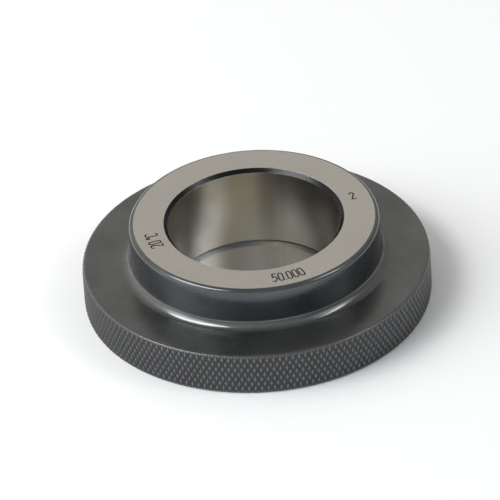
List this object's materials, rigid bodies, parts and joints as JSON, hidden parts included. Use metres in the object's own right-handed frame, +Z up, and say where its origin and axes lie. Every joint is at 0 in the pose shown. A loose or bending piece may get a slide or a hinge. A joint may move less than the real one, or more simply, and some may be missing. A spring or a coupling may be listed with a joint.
{
  "type": "setting ring gauge",
  "caption": "Setting ring gauge: a steel ring with a lapped bore, a raised hub with a ground face, and a wide flange with a diamond-knurled rim.",
  "frame": {"origin": "centre of the flat underside, on the bore's axis", "axes": "+Z up along the bore, from the underside to the gauge face"},
  "size_m": [0.101, 0.101, 0.0258],
  "materials": {
    "tool_steel": "black oxide on the flange, the hub's side and the knurl; ground bright on the gauge face and the underside; lapped in the bore"
  },
  "bodies": {
    "root": {"gauge_ring": "tool_steel"}
  },
  "joints": []
}
